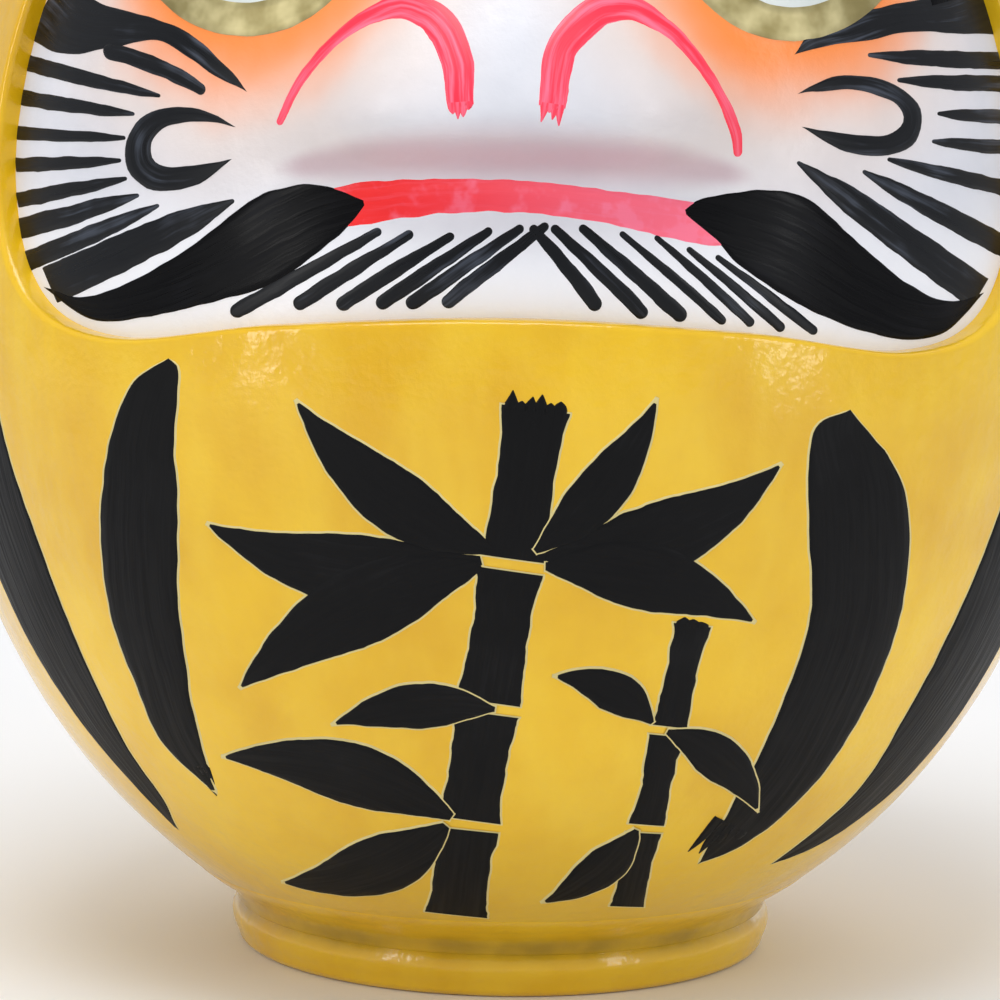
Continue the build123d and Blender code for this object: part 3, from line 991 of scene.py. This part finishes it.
# %% Mouth and nose strokes
red_paint, red_tree, red_shader = new_paint("lip_red", 0.42, coat=0.1)
bristles = bristle_marks(red_tree, 5.0, 120.0)
LOADED_X, DRY_X = -30.0, 34.0  # mm across, where the red is full and where it has faded
faded = ramp(red_tree, axis_value(red_tree, "X"), LOADED_X * MM, DRY_X * MM, 0.0, 0.8)
patches = noise_node(red_tree, 150.0, 3.0, 0.6)
faded = sums(red_tree, "ADD", faded, ramp(red_tree, patches, 0.5, 0.68, 0.0, 0.45))
faded = sums(red_tree, "ADD", faded, ramp(red_tree, bristles, 0.5, 0.75, 0.0, 0.2))
red_colour = mix(red_tree, faded, srgb(252, 14, 16), srgb(255, 118, 146))
surface(red_tree, red_shader, red_colour, bristles, 0.06)
brush = Brush("mouth", red_paint, face=True, layer=1.0)
brush.pointed(
    (-38.5, 163.6),
    [(-34.5, 167.2), (-21.2, 169.4), (1.0, 169.7), (19.5, 167.9), (37.0, 165.0)],
    [(-33.5, 160.2), (-13.7, 163.3), (1.1, 163.7), (15.9, 162.2), (36.8, 157.9)],
    (42.5, 160.0),
    seed=70, tremble=0.6,
)
brush.finish()
nose_pink, pink_tree, pink_shader = new_paint("nose_pink", 0.42, coat=0.1)
bristles = bristle_marks(pink_tree, 5.0, 120.0)
pink_colour = mix(pink_tree, ramp(pink_tree, bristles, 0.4, 0.7), srgb(255, 40, 70), srgb(255, 112, 140))
surface(pink_tree, pink_shader, pink_colour, bristles, 0.06)
brush = Brush("nose_strokes", nose_pink, face=True, layer=1.0)
brush.stroke(
    [
        (-44.2, 178.8), (-40.2, 187.0), (-33.7, 194.8), (-27.3, 199.4), (-21.0, 201.4), (-14.6, 198.8),
        (-11.0, 192.0), (-10.2, 184.0),
    ],
    [0.7, 0.9, 1.0, 1.5, 2.3, 3.0, 2.9, 2.5], seed=71, round_start=True, strands=4, reach=3.2,
)
brush.stroke(
    [
        (41.5, 174.4), (40.7, 179.5), (36.7, 187.8), (30.1, 196.0), (22.5, 201.2), (16.0, 201.6),
        (11.4, 198.6), (7.8, 193.6), (6.6, 184.0),
    ],
    [0.8, 1.0, 1.0, 1.3, 2.0, 2.8, 3.1, 2.9, 2.4], seed=72, round_start=True, strands=4, reach=3.2,
)
brush.finish()

# %% [markdown]
# The moustache is two big leaves of black from the corners of the mouth. The beard is a row of thin lines
# under it, each a little fatter towards its end, and the outer lines on the right are finer.

# %% Moustache and beard
brush = Brush("moustache", moustache_ink, face=True, layer=1.4)
brush.pointed(
    (-27.2, 165.0),
    [(-32.4, 167.1), (-39.0, 167.9), (-47.6, 165.5), (-54.2, 160.5), (-64.9, 152.3), (-80.8, 144.0)],
    [(-30.5, 160.7), (-36.0, 155.8), (-45.4, 148.9), (-58.9, 144.2), (-68.8, 141.3), (-80.8, 139.4)],
    (-91.5, 144.5),
    seed=80,
)
brush.pointed(
    (31.2, 164.1),
    [(35.4, 166.7), (46.8, 168.1), (55.5, 166.1), (63.5, 159.3), (75.5, 149.6), (84.0, 145.6)],
    [(36.5, 159.9), (43.3, 153.3), (54.0, 146.5), (66.0, 141.2), (75.8, 138.9), (84.0, 139.8)],
    (92.0, 146.5),
    seed=81,
)
brush.finish()
BEARD = [
    ((-24.6, 160.0), (-53.0, 142.9)), ((-18.7, 159.8), (-40.8, 145.0)), ((-11.1, 159.6), (-32.7, 145.4)),
    ((-4.1, 160.7), (-25.2, 145.8)), ((1.7, 161.3), (-19.6, 146.0)), ((6.3, 161.8), (-12.9, 146.4)),
    ((3.1, 161.4), (16.0, 146.1)), ((7.0, 161.4), (24.8, 144.8)), ((12.2, 161.5), (32.1, 144.2)),
    ((19.7, 160.4), (39.7, 143.4)), ((26.2, 159.7), (45.1, 142.9)), ((32.2, 157.5), (51.1, 141.8)),
    ((37.7, 156.0), (57.5, 141.0)),
]
OUTER_BEARD = 9  # the lines from here on are finer
brush = Brush("beard", face_ink_and_painted_sheen, face=True, layer=1.0)
for number, (top, foot) in enumerate(BEARD):
    bow = np.array([0.9 if foot[0] > top[0] else -0.9, -0.5])
    middle = bowed(top, foot, (0.35, 0.7), (bow, bow * 0.8))
    halves = (0.68 if number >= OUTER_BEARD else 1.0) * np.array([0.8, 1.25, 1.45, 1.35])
    brush.stroke(middle, halves, seed=90 + number, round_start=True, round_end=True)
brush.finish()

# %% [markdown]
# The whiskers come in from the side of the face in tapering strokes, below a thick band that hangs from
# the brow, and each cheek has a curl, open towards the nose.

# %% Whiskers and curls
brush = Brush("whiskers", face_ink_and_painted_sheen, face=True, layer=1.2)
brush.between(
    [(-88, 207), (-82.1, 200.4), (-68.2, 197.3), (-60.7, 194.3), (-53.7, 188.5), (-50.3, 184.6)],
    [
        (-96, 192), (-88, 189.6), (-77.9, 191.4), (-68.7, 193.4), (-62.2, 190.7), (-56.8, 187.4),
        (-50.3, 184.6),
    ],
    seed=100,
)
brush.between(
    [(88, 209), (82.0, 204.6), (74.5, 202.8), (65.2, 201.0), (59.9, 198.2), (54.6, 196.6), (51.9, 193.2)],
    [(96, 196), (86, 196.6), (74.5, 197.1), (67.3, 195.9), (59.3, 194.9), (51.9, 193.2)],
    seed=101,
)
WHISKERS = [  # (start, tip, half width at the start)
    ((-97.0, 187.5), (-67.3, 183.0), 1.6), ((-98.0, 180.6), (-72.5, 179.3), 1.5),
    ((-98.0, 173.6), (-74.3, 174.7), 1.3), ((-98.0, 167.4), (-75.1, 170.4), 1.4),
    ((-97.5, 160.6), (-73.8, 167.1), 1.5), ((-97.0, 155.0), (-71.3, 164.1), 2.0),
    ((-95.0, 149.0), (-67.2, 162.5), 1.9), ((-90.0, 145.0), (-52.5, 164.3), 3.6),
    ((96.0, 191.0), (66.5, 193.0), 1.7), ((97.0, 186.5), (72.6, 188.2), 1.6),
    ((98.0, 180.0), (81.0, 181.6), 1.4), ((98.0, 174.0), (80.0, 176.4), 1.4),
    ((97.5, 166.0), (70.8, 173.4), 1.5), ((96.5, 155.0), (65.8, 171.3), 2.1),
    ((91.0, 146.5), (52.8, 173.3), 3.2),
]
for number, (start, tip, half) in enumerate(WHISKERS):
    halves = [half, half * 0.95, half * 0.72, 0.35]
    brush.stroke(bowed(start, tip, (0.4, 0.75)), halves, seed=110 + number, round_end=True)
brush.stroke(
    [(-79.3, 191.2), (-70.4, 189.2), (-64.0, 187.0), (-58.5, 184.2)], [1.5, 1.6, 1.5, 1.0],
    seed=129, round_start=True, round_end=True,
)
brush.pointed(
    (-52.3, 178.0),
    [
        (-58.0, 180.6), (-64.5, 181.1), (-71.6, 178.4), (-74.5, 171.8), (-72.3, 167.0), (-66.8, 165.1),
        (-59.0, 167.2),
    ],
    [
        (-57.0, 178.7), (-61.9, 178.4), (-66.4, 177.1), (-68.8, 174.6), (-68.8, 171.4), (-66.2, 169.9),
        (-61.0, 170.3),
    ],
    (-53.0, 172.0),
    seed=130,
)
brush.pointed(
    (52.6, 185.9),
    [
        (57.0, 188.2), (62.5, 189.3), (70.5, 188.0), (77.3, 183.2), (76.8, 176.6), (70.8, 174.0),
        (62.0, 175.2),
    ],
    [
        (57.0, 186.4), (64.1, 186.5), (70.6, 184.7), (73.9, 182.2), (73.5, 179.5), (70.3, 177.9),
        (62.7, 178.3),
    ],
    (53.4, 179.8),
    seed=131,
)
brush.finish()

# %% [markdown]
# The brows arch over the eyes, and their tails come down outside them to the thick bands. Presses of the
# brush along the inner end suggest feathers, because daruma brows are painted as cranes.

# %% Brows
brush = Brush("brows", moustache_ink, face=True, layer=1.4)
for side in (-1, 1):
    line = [(6, 231), (17, 244), (33, 250.5), (51, 248.3), (65, 239), (75, 227.5), (81.5, 214), (84, 203)]
    middle = [(side * x, z) for x, z in line]
    brush.stroke(middle, [0.5, 5.0, 5.6, 3.5, 3.2, 3.5, 4.0, 4.6], seed=140 + side)
    feathers = [((12, 241), (2.5, 247.5)), ((16, 243), (6, 254.5)), ((21, 246), (12.5, 260))]
    feathers += [((27, 248), (21, 262)), ((34, 249), (31, 261.5)), ((41, 249), (41, 258.5))]
    for number, (root, tip) in enumerate(feathers):
        brush.layer = 1.45 + 0.04 * number
        lean = np.array([side * 0.7, 0.4])
        middle = bowed((side * root[0], root[1]), (side * tip[0], tip[1]), (0.35, 0.7), (lean, lean))
        brush.stroke(middle, [2.5, 2.2, 1.25, 0.08], seed=150 + number, tremble=0.2)
    brush.layer = 1.4
brush.finish()

# %% [markdown]
# The clay foot is pressed by hand, and paper strip is pasted round the corner between it and the shell. One
# lacquer covers them. Both are turned shapes, so a profile is swept round the axis, and the same unevenness
# that moves the shell moves them, so that no gap opens at the strip. Only the paper underneath stays bare.

# %% Foot and strip
FOOT_RADIUS, FOOT_EDGE = 56.2, 2.4
RING_WIDTH, BASE_HOLLOW, STICK_RADIUS = 9.6, 2.0, 5.0
TURNS = 300
EVEN_BELOW = 6.0  # mm: the unevenness fades below this height, so that the foot stands flat


def turned(name, profile, material, node):
    """Sweeps (radius, height) points round the axis; their unevenness fades towards the table."""
    turns = np.linspace(-pi, pi, TURNS, endpoint=False)
    made = []
    for radius, height in profile:
        level = np.full(TURNS, float(height))
        egg = egg_radius(np.maximum(level, CUT_Z))
        uneven = unevenness(on_axis(turns, level, egg)) * np.clip(level / EVEN_BELOW, 0, 1)
        made.append(on_axis(turns, level, radius + uneven))
    piece = grid_mesh(name, made, material)
    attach(piece, "root")
    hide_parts(node)
    print(name, "has", len(piece.data.polygons), "faces")


ring_inside = FOOT_RADIUS - RING_WIDTH
edge_turns = np.linspace(-pi / 2, 0, 7)
foot_profile = [(STICK_RADIUS, 9.0), (STICK_RADIUS, BASE_HOLLOW), (ring_inside - 0.4, BASE_HOLLOW)]
foot_profile += [(ring_inside, BASE_HOLLOW - 0.3), (ring_inside, 0.4), (ring_inside + 0.4, 0.0)]
foot_profile += [(FOOT_RADIUS - FOOT_EDGE * (1 - cos(a)), FOOT_EDGE * (1 + sin(a))) for a in edge_turns]
foot_profile += [(56.8, 3.6), (57.2, 4.8), (57.35, 6.0), (57.15, 7.2), (56.7, 8.2), (56.1, 9.0), (55.5, 9.8)]
foot_profile += [(54.8, SHOULDER_Z - 0.1), (50.0, SHOULDER_Z - 0.1)]
turned("foot", foot_profile, foot_yellow, "foot_weight")

strip_line = smooth_curve([
    (55.6, 8.5), (56.25, 9.1), (56.6, 9.9), (57.2, 11.1), (58.4, 12.6), (60.4, 14.1),
    (62.6, 15.5), (64.4, 16.75), (65.6, 17.7), (66.0, 18.25), (65.6, 18.6),
], 4)
turned("foot_strip", strip_line, foot_yellow, "foot_joint_strip")

# %% [markdown]
# The paper under the foot keeps its CAD shape. It is bare, and its fibres show.

# %% Base paper
bare_paper, paper_tree, paper_shader = new_paint("bare_paper", 0.85)
fibres = noise_node(paper_tree, 700.0, 4.0, 0.7, stretch=(1.0, 0.25, 1.0))
specks = ramp(paper_tree, noise_node(paper_tree, 160.0, 3.0), 0.3, 0.7)
paper_colour = mix(paper_tree, fibres, srgb(196, 176, 136), srgb(222, 206, 170))
paper_colour = mix(paper_tree, sums(paper_tree, "MULTIPLY", specks, 0.4), paper_colour, srgb(186, 160, 112))
surface(paper_tree, paper_shader, paper_colour, fibres, 0.2)
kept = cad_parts["base_paper"]
kept.data.materials.clear()
kept.data.materials.append(bare_paper)
print("base_paper keeps its CAD shape")
